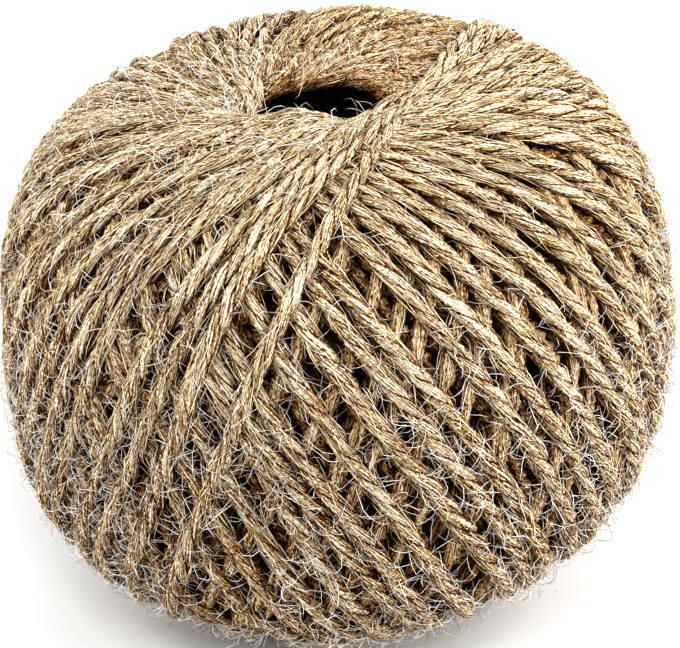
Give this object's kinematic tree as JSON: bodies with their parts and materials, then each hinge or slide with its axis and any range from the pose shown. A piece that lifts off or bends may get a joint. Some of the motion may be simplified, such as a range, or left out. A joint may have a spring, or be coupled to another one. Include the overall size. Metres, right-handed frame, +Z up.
{
  "type": "ball of jute twine",
  "caption": "Machine-wound ball of rough three-ply jute twine, wider than tall, with crossing turns around an open eye on top and a small flat spot to rest on.",
  "frame": {"origin": "middle of the ball's outline on the floor, at the level of the flat spot it rests on", "axes": "+Z up towards the open eye, +Y away from the side where the last turns cross, +X to the right of that side"},
  "size_m": [0.079, 0.0786, 0.0644],
  "materials": {
    "jute_twine": "rough, hairy, dry vegetable fibre"
  },
  "bodies": {
    "root": {"wound_ball": "jute_twine"}
  },
  "joints": []
}
